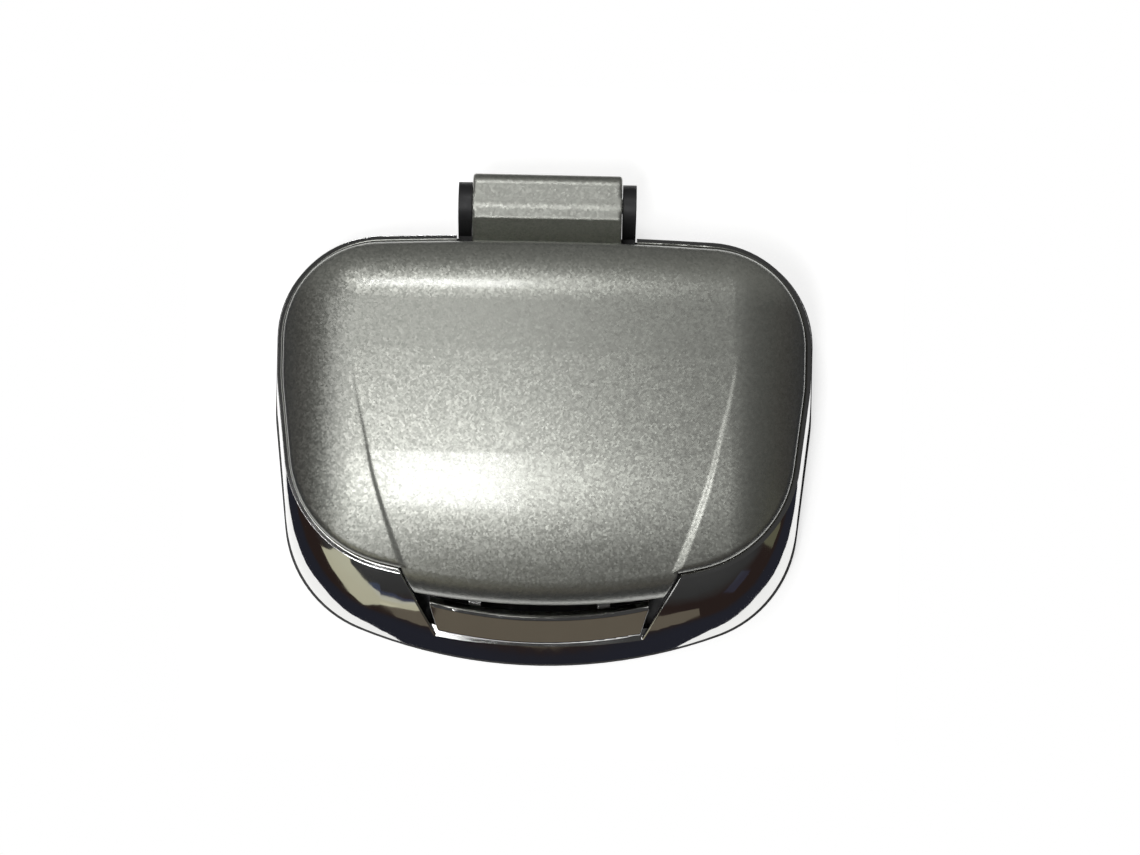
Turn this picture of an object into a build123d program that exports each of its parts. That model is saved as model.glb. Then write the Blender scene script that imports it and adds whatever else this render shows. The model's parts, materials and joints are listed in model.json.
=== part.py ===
"""Pocket pill splitter: a clamshell case with a painted lid, a bright bezel, a V-shaped pill nest
and a razor blade in the lid that a sprung guard covers as soon as the lid lifts.

Millimetres. +X is across the case, +Y points to the hinge, +Z is up. The origin is on the surface
that the feet stand on, under the middle of the overall footprint.
"""

from build123d import *

import os
from math import asin, cos, degrees, radians, sin, sqrt

# ---------------------------------------------------------------- driving dimensions
# Case in plan
case_width = 70.0
case_length = 55.75
knuckle_reach = 7.95  # how far the hinge knuckle stands out behind the case
back_bow = 1.2  # the back edge bulges this far between its corners
case_waist = 0.43  # where the sides start to lean in, as a share of the case's length from the back
lid_waist = 0.339  # the same for the lid
waist_round = 22.0  # radius of that bend

# Heights, stacked up from the floor
foot_stand = 0.8
pan_height = 3.4
bezel_height = 6.6
lid_height = 12.8
lid_sink = 0.6  # the lid's edge sits this far below the bezel's rim

# Walls and clearances
pan_wall = 1.6
floor_thickness = 1.5
bezel_wall = 1.5
lid_wall = 1.8
lid_roof = 2.2
lid_gap = 0.4  # around the lid, in plan
side_rim = 0.7  # width of the bezel's rim beside the lid
rim_round = 0.25
shoulder_front_radius = 98.0  # the bezel's slope breaks along a flatter front than the case has
pan_ledge = 0.2  # how far the pan stands out under the bezel
slip = 0.15  # between pieces that are dropped into each other
touch = 0.05  # between a rubber pad and what comes down on it

# Hinge
knuckle_width = 19.2
knuckle_radius = 3.75
knuckle_rise = 3.7  # top of the knuckle above the pin
pin_radius = 1.0
pin_running_gap = 0.05
ear_thickness = 1.75
ear_radius = 2.75
ear_gap = 0.12

# Lid shape
crown_radius_x = 260.0
crown_radius_y = 200.0
droop_length = 16.65  # the lid's front end that curves down more
droop_radius = 45.0
side_roll_width = 9.4  # the crown rolls over this far in from each side
side_roll_radius = 14.0
back_roll_length = 7.5
back_roll_radius = 12.0
lid_edge_radius = 1.4
scoop_setback = 14.9  # from the back of the case to where the panel between the creases starts
crease_half_width_back = 24.4
crease_half_width_mid = 22.0
crease_half_width_front = 17.6
crease_run = 3.6  # how far a crease's slope spreads sideways for each millimetre that it drops
scoop_tilt = 0.65  # degrees, nose down
tongue_reach = 2.8  # in front of the lid's edge
tongue_drop = 0.8  # underside of the tongue above the lid's edge
tongue_edge_radius = 5.0

# Front notch
notch_half_width_back = 17.7
notch_half_width_front = 13.35
notch_floor_drop = 4.5  # below the bezel's rim

# Blade, guard and their carrier
blade_thickness = 0.4
blade_margin_front = 2.5  # nest left beyond the blade's ends
blade_margin_back = 2.0
blade_edge_z = 4.0
guard_wall = 0.8
guard_play = 0.4  # between the blade and each cheek of the guard
guard_height = 2.6
guard_travel = 5.8
guard_post_radius = 2.0

# Base insert
plate_thickness = 1.2
tub_wall = 1.0
tub_floor = 1.0
pocket_radius = 3.0
nest_half_width = 12.0
nest_back_margin = 9.4  # from the nest to the back of the case
nest_mouth_half_width = 10.0
nest_apex_half_width = 1.3

# Latch
button_half_width_back = 14.2
button_half_width_front = 13.0
catch_width = 8.0
latch_bay_half_width = 15.2
latch_bay_length = 5.45  # behind the lid's front edge
latch_bay_wall = 3.7  # between the latch bay and the nest

# Fasteners and feet
screw_radius = 0.9
screw_head_radius = 1.7
screw_head_height = 1.0
foot_radius = 3.0
spring_wire = 0.3

# ---------------------------------------------------------------- derived places
half_width = case_width / 2
corner_share = case_length / 55.75  # the corners in plan grow and shrink with the case's length
front_y = -(case_length + knuckle_reach) / 2
rear_y = front_y + case_length
pan_base_z = foot_stand
pan_floor_z = pan_base_z + floor_thickness
bezel_base_z = pan_base_z + pan_height
rim_z = bezel_base_z + bezel_height
lid_base_z = rim_z - lid_sink
lid_top_z = lid_base_z + lid_height
hinge_y = rear_y + knuckle_reach - knuckle_radius
hinge_z = lid_base_z + 0.3
notch_floor_z = rim_z - notch_floor_drop
plate_top_z = lid_base_z - 0.8
plate_base_z = plate_top_z - plate_thickness
tub_base_z = pan_floor_z + 0.1
well_floor_z = tub_base_z + 0.5
pocket_floor_z = tub_base_z + tub_floor
nest_top_z = plate_top_z - 0.2
nest_floor_z = well_floor_z + 1.7
liner_base_z = lid_base_z + 1.0
liner_top_z = liner_base_z + 1.2
guard_base_z = nest_top_z + 0.4
guard_top_z = guard_base_z + guard_height
collar_base_z = liner_top_z + guard_travel + 0.1
collar_top_z = collar_base_z + 0.5
carrier_top_z = lid_top_z - 6.0


# ---------------------------------------------------------------- plan outlines
def plan(half, back, front, back_radius, waist_y, waist_inset, corner_radius, front_radius):
    """The numbers of one plan outline: wide at the back, leaning in from the waist, bowed in front."""
    return dict(half=half, back=back, front=front, back_radius=back_radius, waist_y=waist_y,
                waist_inset=waist_inset, corner_radius=corner_radius, front_radius=front_radius)


def grown(shape, by):
    """The same outline, larger by the given margin all round."""
    return plan(shape["half"] + by, shape["back"] + by, shape["front"] - by, shape["back_radius"] + by,
                shape["waist_y"], shape["waist_inset"], shape["corner_radius"] + by,
                shape["front_radius"] + by)


def between(low, high, share):
    """An outline part of the way from one to another."""
    return {key: low[key] + (high[key] - low[key]) * share for key in low}


def outline(shape):
    """The closed outline as a flat face on XY."""
    corner_x = shape["half"] - shape["waist_inset"]
    centre_y = shape["front"] + shape["front_radius"]
    corner_y = centre_y - sqrt(shape["front_radius"] ** 2 - corner_x**2)
    half, back, waist = shape["half"], shape["back"], shape["waist_y"]
    with BuildSketch() as face:
        with BuildLine():
            Polyline((-corner_x, corner_y), (-half, waist), (-half, back - back_bow))
            ThreePointArc((-half, back - back_bow), (0, back), (half, back - back_bow))
            Polyline((half, back - back_bow), (half, waist), (corner_x, corner_y))
            ThreePointArc((corner_x, corner_y), (0, shape["front"]), (-corner_x, corner_y))
        make_face()
        fillet(face.vertices().group_by(Axis.Y)[-1], shape["back_radius"])
        fillet(face.vertices().filter_by_position(Axis.Y, waist - 0.01, waist + 0.01), waist_round)
        fillet(face.vertices().group_by(Axis.Y)[0], shape["corner_radius"])
    return face.sketch


case_plan = plan(half_width, rear_y, front_y, 13.0 * corner_share, rear_y - case_waist * case_length, 2.5,
                 15.5 * corner_share, 66.0)
bezel_plan = grown(case_plan, -pan_ledge)
lid_half_width = half_width - side_rim - lid_gap - 0.5
lid_plan = plan(lid_half_width, rear_y - 0.9, front_y + 11.2, 12.5 * corner_share,
                rear_y - lid_waist * case_length, 2.4, 15.2 * corner_share, 90.0)
rim_plan = grown(lid_plan, lid_gap + side_rim)
shoulder_plan = between(bezel_plan, rim_plan, 0.46) | dict(front_radius=shoulder_front_radius)


def block(shape, low_z, high_z):
    """An upright block of one outline."""
    with BuildPart() as upright:
        with BuildSketch(Plane.XY.offset(low_z)):
            add(outline(shape))
        extrude(amount=high_z - low_z)
    return upright.part


def skin(inset, low_z, high_z):
    """The bezel's sloping outer form, from the pan up to the rim, made smaller by inset."""
    shoulder_z = bezel_base_z + 0.55 * bezel_height
    with BuildPart() as form:
        for shape, height in ((bezel_plan, bezel_base_z), (shoulder_plan, shoulder_z), (rim_plan, rim_z)):
            with BuildSketch(Plane.XY.offset(height)):
                add(outline(grown(shape, -inset)))
        loft()
        split(bisect_by=Plane.XY.offset(high_z), keep=Keep.BOTTOM)
        split(bisect_by=Plane.XY.offset(low_z), keep=Keep.TOP)
    return form.part


# ---------------------------------------------------------------- places along the case
bay_back_y = lid_plan["front"] + latch_bay_length
nest_front_y = bay_back_y + latch_bay_wall
nest_back_y = rear_y - nest_back_margin
nest_y = (nest_front_y + nest_back_y) / 2
nest_half_length = (nest_back_y - nest_front_y) / 2
blade_front_y = nest_front_y + blade_margin_front
blade_back_y = nest_back_y - blade_margin_back
pocket_y = nest_y + 1.5
pocket_length = 2 * nest_half_length - 2.0
scoop_start_y = rear_y - scoop_setback
droop_start_y = lid_plan["front"] + droop_length
base_screw_spots = [(x * (half_width - 13.0), y) for x in (-1, 1) for y in (bay_back_y + 1.4, rear_y - 4.9)]
foot_spots = [(x * (half_width - 9.0), y) for x in (-1, 1) for y in (front_y + 11.85, rear_y - 10.4)]
liner_screw_spots = [(x * (lid_half_width - 11.4), nest_y + y) for x in (-1, 1) for y in (-9.0, 11.0)]
post_spots = [(0, blade_front_y - 3.5), (0, blade_back_y + 3.5)]
catch_screw_spots = [(side * 6.6, lid_plan["front"] + 1.1) for side in (-1, 1)]

# ---------------------------------------------------------------- lid form
def crown_section(depth):
    """Half of the crown's cross-section, its top at the origin: a flat arc, then a tighter one at the side."""
    turn = asin((lid_half_width - side_roll_width) / crown_radius_x)
    end_turn = radians(62)
    roll_x = (crown_radius_x - side_roll_radius) * sin(turn)
    roll_y = (crown_radius_x - side_roll_radius) * cos(turn) - crown_radius_x
    flat_mid = (crown_radius_x * sin(turn / 2), crown_radius_x * (cos(turn / 2) - 1))
    flat_end = (crown_radius_x * sin(turn), crown_radius_x * (cos(turn) - 1))
    roll_mid_turn = (turn + end_turn) / 2
    roll_mid = (roll_x + side_roll_radius * sin(roll_mid_turn), roll_y + side_roll_radius * cos(roll_mid_turn))
    roll_end = (roll_x + side_roll_radius * sin(end_turn), roll_y + side_roll_radius * cos(end_turn))
    with BuildSketch() as section:
        with BuildLine():
            ThreePointArc((0, 0), flat_mid, flat_end)
            ThreePointArc(flat_end, roll_mid, roll_end)
            Polyline(roll_end, (roll_end[0], -depth), (0, -depth), (0, 0))
        make_face()
        mirror(about=Plane.YZ)
    return section.sketch


def ring(seam, up, radius, depth, toward_back, arc):
    """The crown section swung from the seam about a point that lies one radius below it."""
    across = Plane(origin=seam, x_dir=(1, 0, 0), z_dir=Vector(1, 0, 0).cross(up))
    with BuildPart() as swung:
        with BuildSketch(across):
            add(crown_section(depth))
        revolve(axis=Axis(seam - up * radius, (-1 if toward_back else 1, 0, 0)), revolution_arc=arc)
    return swung.part


def crown(drop):
    """Everything below the lid's crowned top, lowered by drop.

    Three rings join without a step in slope: the long one over the middle, a tighter one that
    droops at the front, and a small one that rolls over at the back.
    """
    centre_z = lid_top_z - drop - crown_radius_y
    front_turn = asin(droop_start_y / crown_radius_y)
    back_turn = asin((lid_plan["back"] - back_roll_length) / crown_radius_y)
    front_up = Vector(0, sin(front_turn), cos(front_turn))
    back_up = Vector(0, sin(back_turn), cos(back_turn))
    front_seam = Vector(0, 0, centre_z) + front_up * crown_radius_y
    back_seam = Vector(0, 0, centre_z) + back_up * crown_radius_y
    back_depth = back_roll_radius - 0.1
    with BuildPart() as whole:
        add(ring(front_seam, front_up, crown_radius_y, 30.0, True, degrees(back_turn - front_turn)))
        add(ring(front_seam, front_up, droop_radius, 30.0, False, 60))
        add(ring(back_seam, back_up, back_roll_radius, back_depth, True, 100))
        with Locations((0, back_seam.Y + 10, back_seam.Z - back_roll_radius + 0.6)):
            Box(2 * lid_half_width, 40, 20, align=(Align.CENTER, Align.CENTER, Align.MAX))
    return whole.part


def pillow(inset, drop, low_z):
    """The lid's crowned form with its rounded edge, made smaller by inset and lower by drop."""
    with BuildPart() as form:
        add(block(grown(lid_plan, -inset), low_z, lid_top_z + 1))
        add(crown(drop), mode=Mode.INTERSECT)
        walls = form.faces().filter_by(lambda face: abs(face.normal_at().Z) < 0.05)
        rim = walls.edges().filter_by(Axis.Z, reverse=True).filter_by_position(Axis.Z, low_z + 1, lid_top_z)
        fillet(rim, lid_edge_radius - inset / 2)
    return form.part


def notch_half_width(y):
    """Half the notch's width in plan, which narrows to the front in a straight line."""
    back_y, front_edge_y = lid_front_corner_y - 0.6, front_y + 4.0
    share = (back_y - y) / (back_y - front_edge_y)
    return notch_half_width_back + (notch_half_width_front - notch_half_width_back) * share


def wedge(back_y, nose_y, nose_sag, low_z, high_z):
    """A block with the notch's slanting sides and a bowed nose."""
    back, nose = notch_half_width(back_y), notch_half_width(nose_y + nose_sag)
    with BuildPart() as form:
        with BuildSketch(Plane.XY.offset(low_z)):
            with BuildLine():
                Polyline((-nose, nose_y + nose_sag), (-back, back_y), (back, back_y), (nose, nose_y + nose_sag))
                ThreePointArc((nose, nose_y + nose_sag), (0, nose_y), (-nose, nose_y + nose_sag))
            make_face()
        extrude(amount=high_z - low_z)
    return form.part


lid_front_corner_y = lid_plan["front"] + 1.15  # where the lid's front edge meets the tongue
tongue_nose_y = lid_plan["front"] - tongue_reach
tongue_base_z = lid_base_z + tongue_drop

# The lid's top dips between two gently bowed creases, from nothing at the back to the tongue in front.
scoop_height_z = lid_top_z - (crown_radius_y - sqrt(crown_radius_y**2 - scoop_start_y**2))
low_crown = crown(0).rotate(Axis((0, scoop_start_y, scoop_height_z), (1, 0, 0)), scoop_tilt)
scoop_length = scoop_start_y - lid_front_corner_y


def crown_height(x, y):
    """Height of the crowned top, in front of its back roll and between its side rolls."""
    section_drop = crown_radius_x - sqrt(crown_radius_x**2 - x**2)
    turn = asin(droop_start_y / crown_radius_y)
    radius, centre_y, centre_z = crown_radius_y, 0, lid_top_z - crown_radius_y
    if y < droop_start_y:
        radius = droop_radius
        centre_y = (crown_radius_y - droop_radius) * sin(turn)
        centre_z += (crown_radius_y - droop_radius) * cos(turn)
    return centre_z + sqrt((radius - section_drop) ** 2 - (y - centre_y) ** 2)


def crease_half_width(y):
    """Half the width between the creases, which closes in ever faster towards the front."""
    share = (scoop_start_y - y) / scoop_length
    bend = crease_half_width_back - 2 * crease_half_width_mid + crease_half_width_front
    slope = crease_half_width_front - crease_half_width_back - 2 * bend
    return crease_half_width_back + slope * share + 2 * bend * share**2


with BuildPart() as scoop:
    for share in (0, 0.25, 0.5, 0.75, 1, 1.15):
        y = scoop_start_y - share * scoop_length
        half, height = crease_half_width(y), crown_height(crease_half_width(y), y)
        low_half, high_half = half - 0.8 * crease_run, half + 1.6 * crease_run
        with BuildSketch(Plane.XZ.offset(-y)):
            Polygon((-low_half, height - 0.8), (low_half, height - 0.8), (high_half, height + 1.6),
                    (-high_half, height + 1.6), align=None)
    loft()
    add(low_crown, mode=Mode.SUBTRACT)

tongue_side_y = tongue_nose_y + 1.3
tongue_side_x = notch_half_width(tongue_side_y) - lid_gap - 0.2
tongue_root_x = notch_half_width(lid_front_corner_y) - lid_gap - 0.2
tongue_line = [(tongue_side_x, tongue_side_y), (tongue_root_x, lid_front_corner_y),
               *[(crease_half_width(lid_front_corner_y + y) - 0.5, lid_front_corner_y + y) for y in (3.8, 7.35)]]
with BuildPart() as tongue:
    with BuildSketch(Plane.XY.offset(tongue_base_z)):
        with BuildLine():
            Polyline(*tongue_line)
            Line(tongue_line[-1], (-tongue_line[-1][0], tongue_line[-1][1]))
            Polyline(*[(-x, y) for x, y in reversed(tongue_line)])
            ThreePointArc((-tongue_side_x, tongue_side_y), (0, tongue_nose_y), (tongue_side_x, tongue_side_y))
        make_face()
    extrude(amount=lid_top_z - tongue_base_z)
    add(low_crown, mode=Mode.INTERSECT)
    fillet(tongue.faces().sort_by(Axis.Z)[-1].edges().sort_by(Axis.Y)[0], tongue_edge_radius)

# ---------------------------------------------------------------- hinge knuckle
neck_base_z = lid_base_z - 0.3
neck_top_z = hinge_z + knuckle_rise - 2.7
with BuildPart() as knuckle:
    with BuildSketch(Plane.YZ.offset(-knuckle_width / 2)):
        with Locations((hinge_y, hinge_z)):
            Circle(knuckle_radius)
        with BuildLine():
            Polyline((hinge_y + knuckle_radius, hinge_z), (hinge_y + knuckle_radius, hinge_z + knuckle_rise),
                     (hinge_y - 1.9, hinge_z + knuckle_rise), (lid_plan["back"] + 0.2, neck_top_z),
                     (lid_plan["back"] - 1.0, neck_top_z), (lid_plan["back"] - 1.0, neck_base_z),
                     (hinge_y, neck_base_z), (hinge_y, hinge_z), close=True)
        make_face()
    extrude(amount=knuckle_width)
    back_corner = knuckle.edges().filter_by(Axis.X).group_by(Axis.Z)[-1].sort_by(Axis.Y)[-1]
    fillet(back_corner, 1.4)
    fillet(knuckle.edges().filter_by(Axis.Y).group_by(Axis.Z)[-1], 0.4)

# ---------------------------------------------------------------- lid shell
seat_z = collar_top_z + 0.15
catch_flange_z = tongue_base_z + 4.6
spring_bay = knuckle_width - 6.4
with BuildPart() as lid_shell:
    add(pillow(0, 0, lid_base_z))
    add(scoop.part, mode=Mode.SUBTRACT)
    add(tongue.part)
    add(knuckle.part)
    add(pillow(lid_wall, lid_roof, lid_base_z - 2), mode=Mode.SUBTRACT)
    with Locations((0, lid_plan["front"] + 1.1, tongue_base_z)):
        Box(24.0, 5.3, 4.6, align=(Align.CENTER, Align.CENTER, Align.MIN), mode=Mode.SUBTRACT)
    with Locations((0, lid_plan["front"], lid_base_z - 1)):
        Box(26.0, 5.0, tongue_drop + 1, align=(Align.CENTER, Align.CENTER, Align.MIN), mode=Mode.SUBTRACT)
    with BuildSketch(Plane.XY.offset(liner_top_z)):
        with Locations(*liner_screw_spots):
            Circle(2.2)
    extrude(amount=lid_top_z - lid_roof - liner_top_z - 0.6)
    with BuildSketch(Plane.XY.offset(liner_top_z)):
        with Locations(*liner_screw_spots):
            Circle(screw_radius + 0.02)
    extrude(amount=3.4, mode=Mode.SUBTRACT)
    with BuildSketch(Plane.XY.offset(seat_z)):
        with Locations(*post_spots):
            Circle(1.1)
    extrude(amount=1.6)
    with BuildSketch(Plane.XY.offset(catch_flange_z - 1)):
        with Locations(*catch_screw_spots):
            Circle(screw_radius + 0.02)
    extrude(amount=2.6, mode=Mode.SUBTRACT)
    with Locations(Location((0, hinge_y, hinge_z), (0, 90, 0))):
        Cylinder(pin_radius + pin_running_gap, knuckle_width + 2, mode=Mode.SUBTRACT)
        Cylinder(knuckle_radius - 1.0, spring_bay, mode=Mode.SUBTRACT)
    with Locations((0, hinge_y, hinge_z - knuckle_radius)):
        Box(spring_bay, 4.4, 3.0, mode=Mode.SUBTRACT)

# ---------------------------------------------------------------- base pan
hinge_block_half = knuckle_width / 2 + ear_gap + ear_thickness
with BuildPart() as base_pan:
    add(block(case_plan, pan_base_z, bezel_base_z))
    fillet(base_pan.faces().sort_by(Axis.Z)[0].edges(), 1.6)
    add(block(grown(case_plan, -pan_wall), pan_floor_z, rim_z), mode=Mode.SUBTRACT)
    with Locations((0, rear_y, pan_floor_z)):
        Box(2 * hinge_block_half, 2 * 2.4, plate_top_z - pan_floor_z,
            align=(Align.CENTER, Align.CENTER, Align.MIN))
    with Locations((0, rear_y, pan_base_z)):
        Box(2 * half_width, 10, rim_z, align=(Align.CENTER, Align.MIN, Align.MIN), mode=Mode.SUBTRACT)
    for side in (-1, 1):
        inner_x = side * (knuckle_width / 2 + ear_gap)
        with BuildSketch(Plane.YZ.offset(inner_x)):
            with Locations((hinge_y, hinge_z)):
                Circle(ear_radius)
            with BuildLine():
                Polyline((rear_y - 0.8, bezel_base_z + 0.6), (rear_y - 0.8, plate_top_z), (rear_y, plate_top_z),
                         (hinge_y - 2.2, hinge_z + 1.65), (hinge_y, hinge_z), (hinge_y + 0.9, hinge_z - 2.6),
                         close=True)
            make_face()
        extrude(amount=side * ear_thickness)
    with Locations(Location((0, hinge_y, hinge_z), (0, 90, 0))):
        Cylinder(pin_radius, 2 * hinge_block_half + 2, mode=Mode.SUBTRACT)
    with BuildSketch(Plane.XY.offset(pan_base_z)):
        with Locations(*base_screw_spots):
            Circle(screw_head_radius + slip)
        with Locations(*foot_spots):
            Circle(foot_radius + slip)
    extrude(amount=0.6, mode=Mode.SUBTRACT)
    with BuildSketch(Plane.XY.offset(pan_base_z)):
        with Locations(*base_screw_spots):
            Circle(screw_radius + slip)
    extrude(amount=floor_thickness, mode=Mode.SUBTRACT)
    with BuildSketch(Plane.XY.offset(pan_base_z)):
        RectangleRounded(30.0, 16.0, 2.0)
    extrude(amount=0.3, mode=Mode.SUBTRACT)

# ---------------------------------------------------------------- bezel
with BuildPart() as bezel:
    add(skin(0, bezel_base_z, rim_z))
    add(skin(bezel_wall, bezel_base_z, plate_top_z), mode=Mode.SUBTRACT)
    add(block(grown(lid_plan, lid_gap), plate_top_z - 1, rim_z + 1), mode=Mode.SUBTRACT)
    add(wedge(lid_plan["front"] + 4, front_y, 1.2, notch_floor_z, rim_z + 1), mode=Mode.SUBTRACT)
    inner_edges = bezel.faces().sort_by(Axis.Z)[-1].edges().filter_by(GeomType.BSPLINE, reverse=True)
    notch_walls = bezel.faces().filter_by(GeomType.PLANE).filter_by(
        lambda face: abs(face.normal_at().X) > 0.8 and face.center().Y < lid_front_corner_y)
    notch_edges = [wall.edges().sort_by(SortBy.LENGTH)[-1] for wall in notch_walls]
    fillet([*inner_edges, *notch_edges], rim_round)
    with Locations((0, rear_y, bezel_base_z)):
        Box(2 * (hinge_block_half + slip), 8.0, rim_z, align=(Align.CENTER, Align.CENTER, Align.MIN),
            mode=Mode.SUBTRACT)

# ---------------------------------------------------------------- insert tray with its pockets
pocket_inner_x = nest_half_width + slip + 2 * tub_wall
pocket_outer_x = lid_plan["half"] - 5.0
pocket_width = pocket_outer_x - pocket_inner_x
pocket_spots = [(side * (pocket_inner_x + pocket_outer_x) / 2, pocket_y) for side in (-1, 1)]
bay_floor_z = tub_base_z + 2.0
with BuildPart() as insert_tray:
    add(block(grown(lid_plan, -0.7), plate_base_z, plate_top_z))
    with BuildSketch(Plane.XY.offset(tub_base_z)):
        with Locations(*pocket_spots):
            RectangleRounded(pocket_width + 2 * tub_wall, pocket_length + 2 * tub_wall, pocket_radius + tub_wall)
        with Locations((0, nest_y)):
            Rectangle(2 * (nest_half_width + slip + tub_wall), 2 * (nest_half_length + slip + tub_wall))
        with Locations(*base_screw_spots):
            Circle(2.3)
    extrude(amount=plate_base_z - tub_base_z)
    with Locations((0, bay_back_y, bay_floor_z - tub_floor)):
        Box(2 * (latch_bay_half_width + tub_wall), 6.5, plate_base_z - bay_floor_z + tub_floor,
            align=(Align.CENTER, Align.MAX, Align.MIN))
    with BuildSketch(Plane.XY.offset(plate_top_z)):
        with Locations(*pocket_spots):
            RectangleRounded(pocket_width, pocket_length, pocket_radius)
    extrude(amount=pocket_floor_z - plate_top_z, mode=Mode.SUBTRACT)
    with Locations((0, nest_y, well_floor_z)):
        Box(2 * (nest_half_width + slip), 2 * (nest_half_length + slip), rim_z,
            align=(Align.CENTER, Align.CENTER, Align.MIN), mode=Mode.SUBTRACT)
    with Locations((0, bay_back_y, bay_floor_z)):
        Box(2 * latch_bay_half_width, 12.0, rim_z, align=(Align.CENTER, Align.MAX, Align.MIN),
            mode=Mode.SUBTRACT)
    with Locations((0, rear_y, plate_base_z - 1)):
        Box(2 * (hinge_block_half + slip), 2 * 2.6, rim_z, align=(Align.CENTER, Align.CENTER, Align.MIN),
            mode=Mode.SUBTRACT)
    with BuildSketch(Plane.XY.offset(tub_base_z)):
        with Locations(*base_screw_spots):
            Circle(screw_radius + 0.02)
    extrude(amount=5.0, mode=Mode.SUBTRACT)

# ---------------------------------------------------------------- soft pill nest
mouth_y = nest_y - nest_half_length + 3.0
apex_y = nest_y + nest_half_length - 4.0
with BuildPart() as pill_nest:
    with Locations((0, nest_y, well_floor_z)):
        Box(2 * nest_half_width, 2 * nest_half_length, nest_top_z - well_floor_z,
            align=(Align.CENTER, Align.CENTER, Align.MIN))
    with BuildSketch(Plane.XY.offset(nest_floor_z)):
        with BuildLine():
            Polyline((-nest_mouth_half_width, mouth_y), (nest_mouth_half_width, mouth_y),
                     (nest_mouth_half_width, mouth_y + 3), (nest_apex_half_width, apex_y),
                     (-nest_apex_half_width, apex_y), (-nest_mouth_half_width, mouth_y + 3), close=True)
        make_face()
    extrude(amount=rim_z, mode=Mode.SUBTRACT)
    with Locations((0, nest_y, blade_edge_z - 0.5)):
        Box(1.2, 2 * nest_half_length, rim_z, align=(Align.CENTER, Align.CENTER, Align.MIN), mode=Mode.SUBTRACT)
    chamfer(pill_nest.faces().filter_by(Axis.Z).group_by(Axis.Z)[-1].edges(), 0.3)

# ---------------------------------------------------------------- lid liner
guard_half_x = blade_thickness / 2 + guard_play + guard_wall
guard_front_y = blade_front_y - 1.3
guard_back_y = blade_back_y + 1.3
guard_mid_y = (guard_front_y + guard_back_y) / 2
slot_half_width = guard_half_x + 0.4
carrier_screw_reach = (blade_back_y - blade_front_y) / 2 - 2.75
carrier_screw_spots = [(side * 5.4, guard_mid_y + y * carrier_screw_reach) for side in (-1, 1) for y in (-1, 1)]
liner_plan = grown(lid_plan, -(lid_wall + slip))
with BuildPart() as lid_liner:
    add(block(liner_plan, liner_base_z, liner_top_z))
    with Locations((0, guard_mid_y, liner_base_z)):
        Box(2 * slot_half_width, post_spots[1][1] - post_spots[0][1], 3, mode=Mode.SUBTRACT)
    with BuildSketch(Plane.XY.offset(liner_base_z)):
        with Locations(*post_spots):
            Circle(guard_post_radius + slip)
        with Locations(*liner_screw_spots):
            Circle(screw_radius + slip)
        with Locations(*carrier_screw_spots):
            Circle(screw_radius + 0.02)
    extrude(amount=liner_top_z - liner_base_z, mode=Mode.SUBTRACT)

# ---------------------------------------------------------------- blade and its carrier
carrier_length = blade_back_y - blade_front_y + 0.8
blade_top_z = carrier_top_z - 0.7
with BuildPart() as blade_carrier:
    with Locations((0, guard_mid_y, liner_top_z)):
        Box(15.0, carrier_length, 1.0, align=(Align.CENTER, Align.CENTER, Align.MIN))
        Box(5.6, carrier_length, carrier_top_z - liner_top_z, align=(Align.CENTER, Align.CENTER, Align.MIN))
        Box(2 * slot_half_width, carrier_length, guard_top_z - liner_top_z + 0.4,
            align=(Align.CENTER, Align.CENTER, Align.MIN), mode=Mode.SUBTRACT)
        Box(blade_thickness + 0.04, blade_back_y - blade_front_y + 0.1, blade_top_z - liner_top_z + 0.02,
            align=(Align.CENTER, Align.CENTER, Align.MIN), mode=Mode.SUBTRACT)
    with BuildSketch(Plane.XY.offset(liner_top_z)):
        with Locations(*carrier_screw_spots):
            Circle(screw_radius + slip)
    extrude(amount=1.0, mode=Mode.SUBTRACT)

half_blade = blade_thickness / 2
with BuildPart() as blade:
    with BuildSketch(Plane.XZ.offset(-blade_back_y)):
        with BuildLine():
            Polyline((-0.02, blade_edge_z), (0.02, blade_edge_z), (half_blade, blade_edge_z + 1.2),
                     (half_blade, blade_top_z), (-half_blade, blade_top_z), (-half_blade, blade_edge_z + 1.2),
                     close=True)
        make_face()
    extrude(amount=blade_back_y - blade_front_y)

# ---------------------------------------------------------------- blade guard on two posts
post_length = collar_top_z - guard_base_z
post_bore_z = guard_base_z + 1.0
with BuildPart() as blade_guard:
    with Locations((0, guard_mid_y, guard_base_z)):
        Box(2 * guard_half_x, post_spots[1][1] - post_spots[0][1], guard_height,
            align=(Align.CENTER, Align.CENTER, Align.MIN))
        Box(2 * (guard_half_x - guard_wall), blade_back_y - blade_front_y + 1.0, guard_height,
            align=(Align.CENTER, Align.CENTER, Align.MIN), mode=Mode.SUBTRACT)
    with BuildSketch(Plane.XY.offset(guard_base_z)):
        with Locations(*post_spots):
            Circle(guard_post_radius)
    extrude(amount=post_length)
    with BuildSketch(Plane.XY.offset(collar_base_z)):
        with Locations(*post_spots):
            Circle(guard_post_radius + 0.6)
    extrude(amount=collar_top_z - collar_base_z)
    with BuildSketch(Plane.XY.offset(post_bore_z)):
        with Locations(*post_spots):
            Circle(guard_post_radius - 0.8)
    extrude(amount=collar_top_z - post_bore_z, mode=Mode.SUBTRACT)


# ---------------------------------------------------------------- springs
def coil(height, pitch, radius, wire, centre, axis_direction):
    """A wire coil that starts at centre and runs along axis_direction."""
    path = Helix(pitch=pitch, height=height, radius=radius, center=centre, direction=axis_direction)
    with BuildPart() as wound:
        with BuildSketch(Plane(origin=path @ 0, z_dir=path % 0)):
            Circle(wire / 2)
        sweep(path=path, is_frenet=True)
    return wound.part


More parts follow.
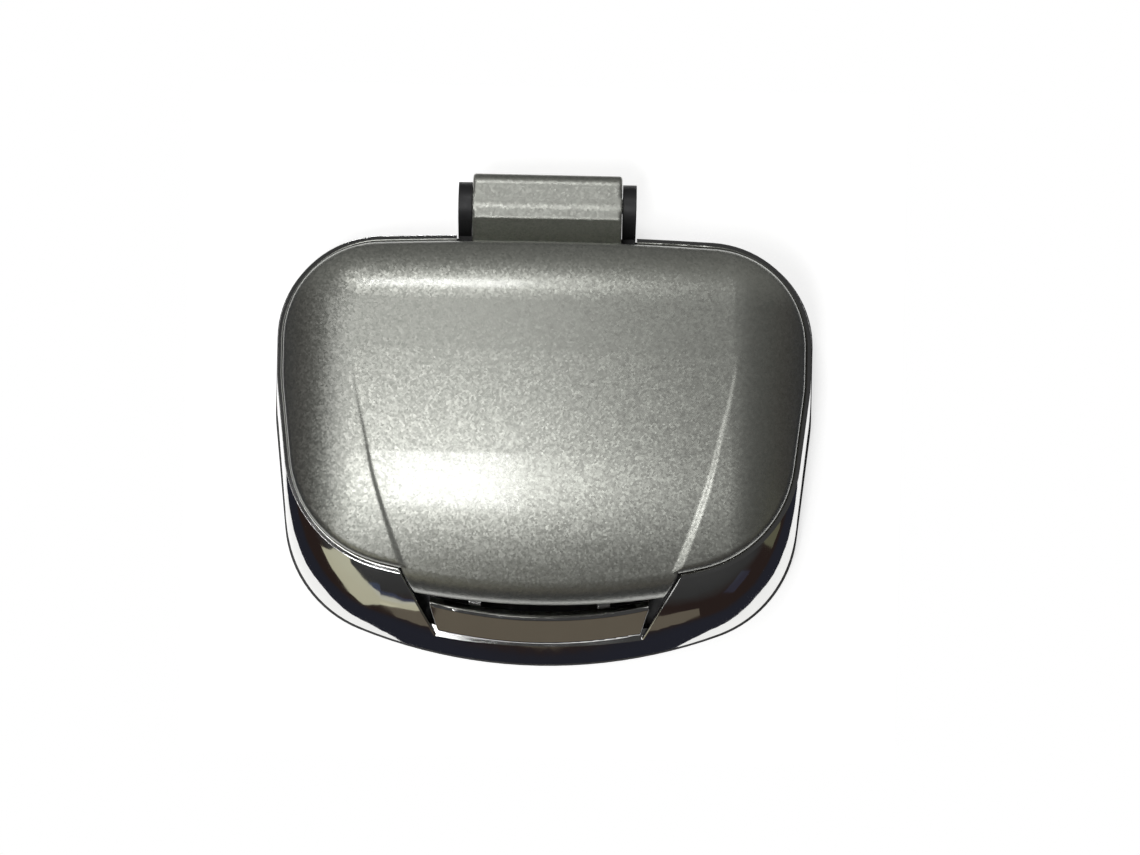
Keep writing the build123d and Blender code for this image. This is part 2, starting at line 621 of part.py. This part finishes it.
guard_spring_foot_z = post_bore_z + spring_wire / 2 + 0.02
guard_spring_height = seat_z - guard_spring_foot_z - spring_wire / 2 - 0.02
with BuildPart() as guard_springs:
    for x, y in post_spots:
        add(coil(guard_spring_height, guard_spring_height / 7, 0.9, spring_wire,
                 (x, y, guard_spring_foot_z), (0, 0, 1)))

# ---------------------------------------------------------------- press pads under the liner
pad_thickness = 2.1
pad_length = nest_half_length * 7 / 13  # they go down into the V, so they get shorter with it
with BuildPart() as press_pads:
    for side in (-1, 1):
        with Locations((side * (slot_half_width + 2.4), mouth_y + 1.0, liner_base_z)):
            Box(3.8, pad_length, pad_thickness, align=(Align.CENTER, Align.MIN, Align.MAX))
    chamfer(press_pads.faces().sort_by(Axis.Z)[:2].edges(), 0.5)

# ---------------------------------------------------------------- latch: catch on the lid, button in the base
bar_base_z = bay_floor_z + 1.8
catch_front_y = lid_plan["front"] - 0.4
catch_back_y = catch_front_y + 1.3
nose_y = catch_back_y + 1.0
with BuildPart() as lid_catch:
    with Locations((0, lid_plan["front"] + 1.1, catch_flange_z)):
        Box(18.0, 4.6, 1.2, align=(Align.CENTER, Align.CENTER, Align.MAX))
    with Locations((0, catch_front_y, bar_base_z - 1.3)):
        Box(catch_width, catch_back_y - catch_front_y, catch_flange_z - bar_base_z + 0.4,
            align=(Align.CENTER, Align.MIN, Align.MIN))
        Box(catch_width, nose_y - catch_front_y, 1.1, align=(Align.CENTER, Align.MIN, Align.MIN))
    chamfer(lid_catch.edges().filter_by(Axis.X).group_by(Axis.Z)[0].sort_by(Axis.Y)[-1], 0.6)
    with BuildSketch(Plane.XY.offset(catch_flange_z)):
        with Locations(*catch_screw_spots):
            Circle(screw_radius + slip)
    extrude(amount=-1.2, mode=Mode.SUBTRACT)

button_top_z = tongue_base_z - 1.1
button_nose_y = front_y + 3.05
button_back_y = lid_plan["front"] - 4.85
button_lip_y = button_nose_y + 1.3
arc_centre_y = case_plan["front"] + case_plan["front_radius"]
bar_front_y = nose_y + 0.1
bar_back_y = bar_front_y + 1.3
with BuildPart() as latch_button:
    with BuildSketch(Plane.YZ) as profile:
        with BuildLine():
            Polyline((button_back_y, button_top_z), (button_nose_y, notch_floor_z + 1.2),
                     (button_nose_y, notch_floor_z + 0.15), (button_lip_y, notch_floor_z + 0.15),
                     (button_lip_y, notch_floor_z - 1.2), (button_lip_y + 1.2, notch_floor_z - 1.2),
                     (button_lip_y + 1.2, notch_floor_z + 0.15), (button_back_y + 1.0, button_top_z - 1.5),
                     (button_back_y + 1.0, button_top_z - 0.5), close=True)
        make_face()
        fillet(profile.vertices().group_by(Axis.X)[0].sort_by(Axis.Y)[-1], 0.5)
        fillet(profile.vertices().group_by(Axis.Y)[-1].sort_by(Axis.X)[0], 0.5)
    revolve(axis=Axis((0, arc_centre_y, 0), (0, 0, 1)), revolution_arc=17)
    mirror(about=Plane.YZ)
    with BuildSketch():
        Polygon((-button_half_width_back, button_back_y + 1.6), (-button_half_width_front, button_nose_y + 0.9),
                (-button_half_width_front, front_y), (button_half_width_front, front_y),
                (button_half_width_front, button_nose_y + 0.9), (button_half_width_back, button_back_y + 1.6),
                (button_half_width_back, bay_back_y), (-button_half_width_back, bay_back_y), align=None)
    extrude(amount=rim_z, mode=Mode.INTERSECT)
    for side in (-1, 1):
        with Locations((side * 8.4, button_back_y + 0.6, bar_base_z)):
            Box(1.6, bar_back_y - button_back_y - 0.6, 1.2, align=(Align.CENTER, Align.MIN, Align.MIN))
        with Locations((side * 8.4, button_back_y + 0.2, bar_base_z)):
            Box(1.6, 0.8, button_top_z - bar_base_z - 0.4, align=(Align.CENTER, Align.MIN, Align.MIN))
    with Locations((0, bar_front_y, bar_base_z)):
        Box(18.4, bar_back_y - bar_front_y, 1.2, align=(Align.CENTER, Align.MIN, Align.MIN))

latch_spring_length = bay_back_y - bar_back_y
with BuildPart() as latch_springs:
    for side in (-1, 1):
        add(coil(latch_spring_length - spring_wire - 0.1, (latch_spring_length - spring_wire - 0.1) / 5, 0.75,
                 spring_wire, (side * 6.0, bar_back_y + spring_wire / 2 + 0.05, bar_base_z + 0.4), (0, 1, 0)))

# ---------------------------------------------------------------- hinge pin and its spring
with BuildPart() as hinge_pin:
    with Locations(Location((0, hinge_y, hinge_z), (0, 90, 0))):
        Cylinder(pin_radius, 2 * hinge_block_half)
    chamfer(hinge_pin.edges(), 0.2)

torsion_wire = 0.5
torsion_radius = 1.75
torsion_length = spring_bay - 2.0
with BuildPart() as hinge_spring:
    add(coil(torsion_length, torsion_length / 9, torsion_radius, torsion_wire,
             (-torsion_length / 2, hinge_y, hinge_z), (1, 0, 0)))


# ---------------------------------------------------------------- screws, feet and bumpers
def cross_screw(length):
    """A screw along +Z: its head's outer face on z = 0 with a cross recess, its tip at the length."""
    with BuildPart() as screw:
        with BuildSketch():
            Circle(screw_head_radius)
        extrude(amount=screw_head_height)
        with BuildSketch():
            Circle(screw_radius)
        extrude(amount=length)
        with BuildSketch():
            Rectangle(2.0, 0.45)
            Rectangle(0.45, 2.0)
        extrude(amount=0.5, mode=Mode.SUBTRACT)
        chamfer(screw.edges().filter_by(GeomType.CIRCLE).group_by(Axis.Z)[0], 0.25)
        chamfer(screw.edges().filter_by(GeomType.CIRCLE).group_by(Axis.Z)[-1], 0.3)
    return screw.part


with BuildPart() as base_screws:
    with Locations(*[(x, y, pan_base_z + 0.6 - screw_head_height) for x, y in base_screw_spots]):
        add(cross_screw(7.0))

with BuildPart() as liner_screws:
    with Locations(*[(x, y, liner_base_z - screw_head_height) for x, y in liner_screw_spots]):
        add(cross_screw(4.6))

with BuildPart() as carrier_screws:
    with Locations(*[Location((x, y, liner_top_z + 2.0), (180, 0, 0)) for x, y in carrier_screw_spots]):
        add(cross_screw(2.8))

with BuildPart() as catch_screws:
    with Locations(*[(x, y, catch_flange_z - 1.2 - screw_head_height) for x, y in catch_screw_spots]):
        add(cross_screw(3.6))

with BuildPart() as rubber_feet:
    with BuildSketch():
        with Locations(*foot_spots):
            Circle(foot_radius)
    extrude(amount=foot_stand + 0.6)
    chamfer(rubber_feet.faces().filter_by(Axis.Z).group_by(Axis.Z)[0].edges(), 0.3)

bumper_spots = [(side * (lid_half_width - 1.3), nest_y + 6.5) for side in (-1, 1)]
with BuildPart() as lid_bumpers:
    with BuildSketch(Plane.XY.offset(plate_top_z)):
        with Locations(*bumper_spots):
            SlotOverall(6.0, 0.9, rotation=90)
    extrude(amount=lid_base_z - plate_top_z - touch)

# ---------------------------------------------------------------- export
os.makedirs("parts", exist_ok=True)
pieces = dict(lid_shell=lid_shell, lid_liner=lid_liner, liner_screws=liner_screws, lid_catch=lid_catch,
              catch_screws=catch_screws, blade_carrier=blade_carrier, carrier_screws=carrier_screws,
              blade=blade, press_pads=press_pads, blade_guard=blade_guard, guard_springs=guard_springs,
              base_pan=base_pan, bezel=bezel, insert_tray=insert_tray, pill_nest=pill_nest,
              base_screws=base_screws, rubber_feet=rubber_feet, lid_bumpers=lid_bumpers,
              hinge_pin=hinge_pin, hinge_spring=hinge_spring, latch_button=latch_button,
              latch_springs=latch_springs)
for name, piece in pieces.items():
    piece.part.label = name
    export_step(piece.part, f"parts/{name}.step")
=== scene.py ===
"""Looks for the pocket pill splitter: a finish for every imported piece, a white table and studio lamps.

Metres. +X is across the case, +Y points to the hinge, +Z is up, and the feet stand on z = 0.
"""

import json
import math

import bpy
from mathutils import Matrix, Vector


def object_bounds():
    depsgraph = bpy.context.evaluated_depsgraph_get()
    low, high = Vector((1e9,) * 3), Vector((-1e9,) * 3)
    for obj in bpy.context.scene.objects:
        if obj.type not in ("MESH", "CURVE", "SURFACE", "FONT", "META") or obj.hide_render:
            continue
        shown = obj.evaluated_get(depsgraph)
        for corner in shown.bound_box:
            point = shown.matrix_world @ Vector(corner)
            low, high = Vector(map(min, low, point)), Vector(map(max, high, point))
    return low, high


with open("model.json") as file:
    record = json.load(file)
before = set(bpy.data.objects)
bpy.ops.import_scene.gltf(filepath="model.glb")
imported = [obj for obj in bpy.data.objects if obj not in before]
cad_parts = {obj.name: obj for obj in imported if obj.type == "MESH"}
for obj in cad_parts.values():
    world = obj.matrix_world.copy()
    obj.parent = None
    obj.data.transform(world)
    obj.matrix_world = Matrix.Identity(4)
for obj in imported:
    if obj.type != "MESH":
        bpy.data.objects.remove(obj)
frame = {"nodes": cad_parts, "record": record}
cad_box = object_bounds()
low, high = Vector(cad_box[0]), Vector(cad_box[1])
object_centre = Vector((0, 0, (low.z + high.z) / 2))
MM = 0.001

NOISE_LOW, NOISE_HIGH = 0.3, 0.7     # nearly all of a noise texture lies between these
EDGE_SAMPLES = 6
FLAKE_SIZE = 0.26 * MM
FLAKE_TILT = 0.10                    # how far a flake leans, as a share of the surface normal

TABLE_HALF_WIDTH = 47 * MM
TABLE_HALF_DEPTH = 44 * MM
TABLE_GLOW = 0.7                     # white added to the table's own shading, where 1 is white

LAMP_DISTANCE = 0.7                  # from the object's centre
WALL_STARTS, WALL_ENDS = 0.05, 0.5   # how far towards +Y a direction points as the front turns into the wall

CAMERA_PLACE = (3.5 * MM, -0.6 * MM, 0.55)
CAMERA_LENS = 131.8                  # millimetres of focal length
CAMERA_ROLL = math.radians(1.2)


# ---------------------------------------------------------------- building blocks for materials
class Finish:
    """A material with one Principled shader, and short ways to lay procedural detail over it."""

    def __init__(self, name, colour, metallic=0.0, **sockets):
        self.material = bpy.data.materials.new(name)
        self.material.use_nodes = True
        self.tree = self.material.node_tree
        self.shader = self.tree.nodes["Principled BSDF"]
        self.shader.inputs["Base Color"].default_value = (*colour, 1)
        self.shader.inputs["Metallic"].default_value = metallic
        for socket, value in sockets.items():
            self.shader.inputs[socket.replace("_", " ").title()].default_value = value
        self.coords = self.add("ShaderNodeTexCoord").outputs["Object"]

    def add(self, kind, settings=None, **inputs):
        """A new node. Its inputs go by name, or by place as i0, i1 and so on.

        An input is a number, a vector or another node's output.
        """
        node = self.tree.nodes.new(kind)
        for name, value in (settings or {}).items():
            setattr(node, name, value)
        for name, value in inputs.items():
            socket = node.inputs[int(name[1:]) if name[0] == "i" and name[1:].isdigit() else name]
            if isinstance(value, bpy.types.NodeSocket):
                self.tree.links.new(value, socket)
            else:
                socket.default_value = value
        return node

    def vector(self, operation, **inputs):
        """The result of one vector operation."""
        return self.add("ShaderNodeVectorMath", {"operation": operation}, **inputs).outputs[0]

    def stretched(self, x, y, z):
        """Object coordinates with each axis stretched, so that a pattern gets longer along it."""
        return self.add("ShaderNodeMapping", i0=self.coords, Scale=(1 / x, 1 / y, 1 / z)).outputs[0]

    def noise(self, size, detail, coords=None):
        """Soft noise from 0 to 1 whose blotches are about the given size."""
        coords = coords or self.coords
        return self.add("ShaderNodeTexNoise", Vector=coords, Scale=1 / size, Detail=detail).outputs[0]

    def cells(self, size):
        """A random colour in each small cell."""
        return self.add("ShaderNodeTexVoronoi", Vector=self.coords, Scale=1 / size).outputs["Color"]

    def spread(self, noise, lowest, highest):
        """Noise laid over the range from lowest to highest."""
        ranges = {"i1": NOISE_LOW, "i2": NOISE_HIGH, "i3": lowest, "i4": highest}
        return self.add("ShaderNodeMapRange", i0=noise, **ranges).outputs[0]

    def blend(self, share, first, second):
        """A colour between two, by the share."""
        mixed = self.add("ShaderNodeMix", {"data_type": "RGBA"}, i0=share)
        for socket, colour in zip((mixed.inputs[6], mixed.inputs[7]), (first, second)):
            if isinstance(colour, bpy.types.NodeSocket):
                self.tree.links.new(colour, socket)
            else:
                socket.default_value = (*colour, 1)
        return mixed.outputs[2]

    def bump(self, height, depth, under=None):
        """A normal that rises and falls by the depth, over another normal if one is given."""
        node = self.add("ShaderNodeBump", Height=height, Distance=depth)
        if under:
            self.tree.links.new(under, node.inputs["Normal"])
        return node.outputs[0]

    def soft_edges(self, radius):
        """A normal that rounds every edge over by the radius."""
        return self.add("ShaderNodeBevel", {"samples": EDGE_SAMPLES}, Radius=radius).outputs[0]

    def set(self, **links):
        """Joins outputs to the shader's own sockets."""
        for socket, value in links.items():
            self.tree.links.new(value, self.shader.inputs[socket.replace("_", " ").title()])
        return self.material


# ---------------------------------------------------------------- finishes
def flake_paint():
    """Silver-grey metallic paint: coarse flakes that each tilt a little, under clear lacquer."""
    paint = Finish("lid_paint", (0.45, 0.455, 0.42), metallic=0.9, coat_weight=0.5, coat_roughness=0.12)
    flake = paint.cells(FLAKE_SIZE)
    tilt = paint.vector("SUBTRACT", i0=flake, i1=(0.5, 0.5, 0.5))
    lean = paint.vector("SCALE", i0=tilt, Scale=FLAKE_TILT)
    straight = paint.soft_edges(0.5 * MM)
    tilted = paint.vector("ADD", i0=straight, i1=lean)
    normal = paint.vector("NORMALIZE", i0=tilted)
    value = paint.add("ShaderNodeSeparateColor", i0=flake).outputs[0]
    shade = paint.blend(value, (0.38, 0.39, 0.355), (0.50, 0.505, 0.465))
    cloud = paint.spread(paint.noise(14 * MM, 2), 0.0, 0.14)
    colour = paint.blend(cloud, shade, (0.36, 0.37, 0.33))
    roughness = paint.spread(paint.noise(0.6 * MM, 2), 0.37, 0.43)
    paint.set(coat_normal=straight)
    return paint.set(base_color=colour, roughness=roughness, normal=normal)


def chrome_plating():
    """Bright plating over moulded plastic, with the faint waves such parts have."""
    chrome = Finish("chrome", (0.74, 0.74, 0.73), metallic=1.0)
    colour = chrome.blend(chrome.noise(3 * MM, 4), (0.71, 0.71, 0.705), (0.77, 0.77, 0.76))
    haze = chrome.spread(chrome.noise(5 * MM, 5), 0.035, 0.085)
    waves = chrome.bump(chrome.noise(2.6 * MM, 1), 0.006 * MM, under=chrome.soft_edges(0.12 * MM))
    return chrome.set(base_color=colour, roughness=haze, normal=waves)


def moulded(name, dark, light, low_rough, high_rough, grain, depth, edge=0.12 * MM, **sockets):
    """Moulded plastic or rubber: a fine grain, slightly uneven colour and soft edges."""
    plastic = Finish(name, light, **sockets)
    colour = plastic.blend(plastic.noise(4 * MM, 6), dark, light)
    roughness = plastic.spread(plastic.noise(1.2 * MM, 5), low_rough, high_rough)
    normal = plastic.bump(plastic.noise(grain, 3), depth, under=plastic.soft_edges(edge))
    return plastic.set(base_color=colour, roughness=roughness, normal=normal)


def steel(name, dark, light, low_rough, high_rough, lines, depth, edge=0.08 * MM):
    """Steel with fine working marks along one axis."""
    metal = Finish(name, light, metallic=1.0)
    marks = metal.noise(0.12 * MM, 4, coords=metal.stretched(*lines))
    colour = metal.blend(metal.noise(2 * MM, 5), dark, light)
    roughness = metal.spread(marks, low_rough, high_rough)
    normal = metal.bump(marks, depth, under=metal.soft_edges(edge))
    return metal.set(base_color=colour, roughness=roughness, normal=normal)


finishes = {
    "lid_paint": flake_paint(),
    "chrome": chrome_plating(),
    "black_plastic": moulded("black_plastic", (0.018, 0.018, 0.02), (0.03, 0.03, 0.032), 0.42, 0.58,
                             0.22 * MM, 0.02 * MM),
    "tray_plastic": moulded("tray_plastic", (0.70, 0.71, 0.72), (0.78, 0.79, 0.80), 0.30, 0.42,
                            0.5 * MM, 0.006 * MM, coat_weight=0.15),
    "inner_plastic": moulded("inner_plastic", (0.12, 0.13, 0.14), (0.18, 0.19, 0.20), 0.45, 0.6,
                             0.25 * MM, 0.015 * MM),
    "guard_plastic": moulded("guard_plastic", (0.72, 0.27, 0.075), (0.82, 0.34, 0.10), 0.28, 0.4,
                             0.4 * MM, 0.006 * MM),
    "soft_rubber": moulded("soft_rubber", (0.36, 0.41, 0.46), (0.45, 0.50, 0.55), 0.62, 0.78,
                           0.3 * MM, 0.02 * MM, edge=0.25 * MM, sheen_weight=0.15),
    "foot_rubber": moulded("foot_rubber", (0.03, 0.03, 0.03), (0.055, 0.055, 0.055), 0.65, 0.85,
                           0.3 * MM, 0.02 * MM, edge=0.25 * MM),
    "blade_steel": steel("blade_steel", (0.66, 0.67, 0.68), (0.76, 0.77, 0.78), 0.14, 0.30,
                         (1, 1, 14), 0.004 * MM, edge=0.03 * MM),
    "pin_steel": steel("pin_steel", (0.56, 0.56, 0.56), (0.66, 0.66, 0.66), 0.22, 0.38,
                       (14, 1, 1), 0.004 * MM),
    "spring_steel": steel("spring_steel", (0.48, 0.48, 0.49), (0.58, 0.58, 0.59), 0.22, 0.36,
                          (3, 3, 3), 0.003 * MM),
    "screw_steel": steel("screw_steel", (0.44, 0.45, 0.46), (0.54, 0.55, 0.56), 0.26, 0.42,
                         (1, 1, 1), 0.006 * MM),
}
slot_of = {piece["node"]: piece["material_slot"] for piece in frame["record"]["subparts"]}
for node, shown in frame["nodes"].items():
    shown.data.materials.clear()
    shown.data.materials.append(finishes[slot_of[node]])


# ---------------------------------------------------------------- table
def white_for_the_eye(tree, shader_output, strength):
    """Adds plain white, which only camera, glossy and transmission rays see, to a shader."""
    path = tree.nodes.new("ShaderNodeLightPath")
    glow = tree.nodes.new("ShaderNodeEmission")
    seen = path.outputs["Is Camera Ray"]
    for ray in ("Is Glossy Ray", "Is Transmission Ray"):
        both = tree.nodes.new("ShaderNodeMath")
        both.operation = "MAXIMUM"
        tree.links.new(seen, both.inputs[0])
        tree.links.new(path.outputs[ray], both.inputs[1])
        seen = both.outputs[0]
    scaled = tree.nodes.new("ShaderNodeMath")
    scaled.operation = "MULTIPLY"
    scaled.inputs[1].default_value = strength
    tree.links.new(seen, scaled.inputs[0])
    tree.links.new(scaled.outputs[0], glow.inputs["Strength"])
    total = tree.nodes.new("ShaderNodeAddShader")
    tree.links.new(shader_output, total.inputs[0])
    tree.links.new(glow.outputs[0], total.inputs[1])
    return total.outputs[0]


def table():
    """A small white table top that keeps the object's shadow."""
    x, y = TABLE_HALF_WIDTH, TABLE_HALF_DEPTH
    mesh = bpy.data.meshes.new("table")
    mesh.from_pydata([(-x, -y, 0), (x, -y, 0), (x, y, 0), (-x, y, 0)], [], [(0, 1, 2, 3)])
    top = bpy.data.objects.new("table", mesh)
    bpy.context.collection.objects.link(top)
    finish = Finish("table", (0.80, 0.80, 0.80), roughness=0.7)
    colour = finish.blend(finish.noise(9 * MM, 3), (0.79, 0.79, 0.79), (0.81, 0.81, 0.81))
    finish.set(base_color=colour)
    lit = white_for_the_eye(finish.tree, finish.shader.outputs[0], TABLE_GLOW)
    finish.tree.links.new(lit, finish.tree.nodes["Material Output"].inputs["Surface"])
    mesh.materials.append(finish.material)


table()


# ---------------------------------------------------------------- surroundings and lamps
def surroundings():
    """A dark room in front, a dim wall behind and a dim ceiling, which light the object.

    The camera alone sees white in their place. Glossy and transmission rays see the room.
    """
    world = bpy.data.worlds.new("studio")
    bpy.context.scene.world = world
    world.use_nodes = True
    tree = world.node_tree
    coords = tree.nodes.new("ShaderNodeTexCoord")
    split = tree.nodes.new("ShaderNodeSeparateXYZ")
    tree.links.new(coords.outputs["Generated"], split.inputs[0])

    def by_height(stops):
        """Colours by how far a direction points up, from level at 0 to straight up at 1."""
        ramp = tree.nodes.new("ShaderNodeValToRGB")
        while len(ramp.color_ramp.elements) < len(stops):
            ramp.color_ramp.elements.new(0.5)
        for element, (height, colour) in zip(ramp.color_ramp.elements, stops):
            element.position = height
            element.color = (*colour, 1)
        tree.links.new(split.outputs["Z"], ramp.inputs[0])
        return ramp.outputs[0]

    front = by_height([
        (0.0, (0.020, 0.021, 0.030)),
        (0.08, (0.020, 0.020, 0.027)),
        (0.16, (0.026, 0.017, 0.015)),
        (0.44, (0.026, 0.017, 0.015)),
        (0.56, (0.04, 0.04, 0.04)),
        (0.80, (0.06, 0.06, 0.06)),
        (1.0, (0.05, 0.05, 0.05)),
    ])
    back = by_height([
        (0.0, (0.12, 0.12, 0.12)),
        (0.35, (0.20, 0.20, 0.19)),
        (0.65, (0.20, 0.20, 0.19)),
        (0.88, (0.10, 0.10, 0.10)),
        (1.0, (0.05, 0.05, 0.05)),
    ])
    behind = tree.nodes.new("ShaderNodeMapRange")
    behind.inputs["From Min"].default_value = WALL_STARTS
    behind.inputs["From Max"].default_value = WALL_ENDS
    tree.links.new(split.outputs["Y"], behind.inputs["Value"])
    walls = tree.nodes.new("ShaderNodeMix")
    walls.data_type = "RGBA"
    for source, socket in ((behind.outputs[0], 0), (front, 6), (back, 7)):
        tree.links.new(source, walls.inputs[socket])
    backdrop = tree.nodes["Background"]
    tree.links.new(walls.outputs[2], backdrop.inputs["Color"])
    path = tree.nodes.new("ShaderNodeLightPath")
    white = tree.nodes.new("ShaderNodeBackground")
    white.inputs["Color"].default_value = (1, 1, 1, 1)
    chosen = tree.nodes.new("ShaderNodeMixShader")
    tree.links.new(path.outputs["Is Camera Ray"], chosen.inputs[0])
    tree.links.new(backdrop.outputs[0], chosen.inputs[1])
    tree.links.new(white.outputs[0], chosen.inputs[2])
    tree.links.new(chosen.outputs[0], tree.nodes["World Output"].inputs["Surface"])


def lamp(name, direction, wide, tall, brightness, colour=(1, 1, 1)):
    """A rectangular lamp that faces the object; wide and tall are the angles it fills, in degrees."""
    light = bpy.data.lights.new(name, "AREA")
    light.shape = "RECTANGLE"
    light.size = 2 * LAMP_DISTANCE * math.tan(math.radians(wide / 2))
    light.size_y = 2 * LAMP_DISTANCE * math.tan(math.radians(tall / 2))
    light.energy = brightness * math.pi * light.size * light.size_y
    light.color = colour
    holder = bpy.data.objects.new(name, light)
    bpy.context.collection.objects.link(holder)
    direction = direction.normalized()
    holder.location = object_centre + direction * LAMP_DISTANCE
    holder.rotation_euler = (-math.asin(direction.y), math.atan2(direction.x, direction.z), 0)
    holder.visible_camera = False


def overhead(across, along):
    """A direction near straight up, leaning by angles to +X and to +Y."""
    return Vector((math.tan(math.radians(across)), math.tan(math.radians(along)), 1))


def around(turn, height):
    """A direction by compass turn from +X towards +Y and height above the table, in degrees."""
    turn, height = math.radians(turn), math.radians(height)
    return Vector((math.cos(turn) * math.cos(height), math.sin(turn) * math.cos(height), math.sin(height)))


lamp("front_panel", overhead(-8, -14), 10, 18, 14)
lamp("rear_panel", overhead(-9.5, 31), 12, 9, 16)
lamp("soft_left", overhead(-30, -6), 26, 30, 1.15)
lamp("soft_front", overhead(-24, -36), 20, 16, 1.2)
lamp("cream_wall", around(242.5, 24), 19, 28, 0.5, colour=(1, 0.98, 0.72))
lamp("blue_edge", around(254, 28), 4, 12, 0.07, colour=(0.25, 0.45, 1))
lamp("button_glow", around(270, 14), 28, 12, 0.11, colour=(1, 0.90, 0.66))
lamp("blue_right", around(303, 24), 8, 10, 0.035, colour=(0.3, 0.5, 1))
lamp("olive_right", around(334, 24), 18, 26, 0.10, colour=(0.95, 1, 0.6))
surroundings()

# ---------------------------------------------------------------- camera
lens = bpy.data.cameras.new("camera")
lens.lens = CAMERA_LENS
camera = bpy.data.objects.new("camera", lens)
bpy.context.collection.objects.link(camera)
camera.location = CAMERA_PLACE
camera.rotation_euler = (0, 0, CAMERA_ROLL)
bpy.context.scene.camera = camera
bpy.context.scene.view_settings.view_transform = "Standard"
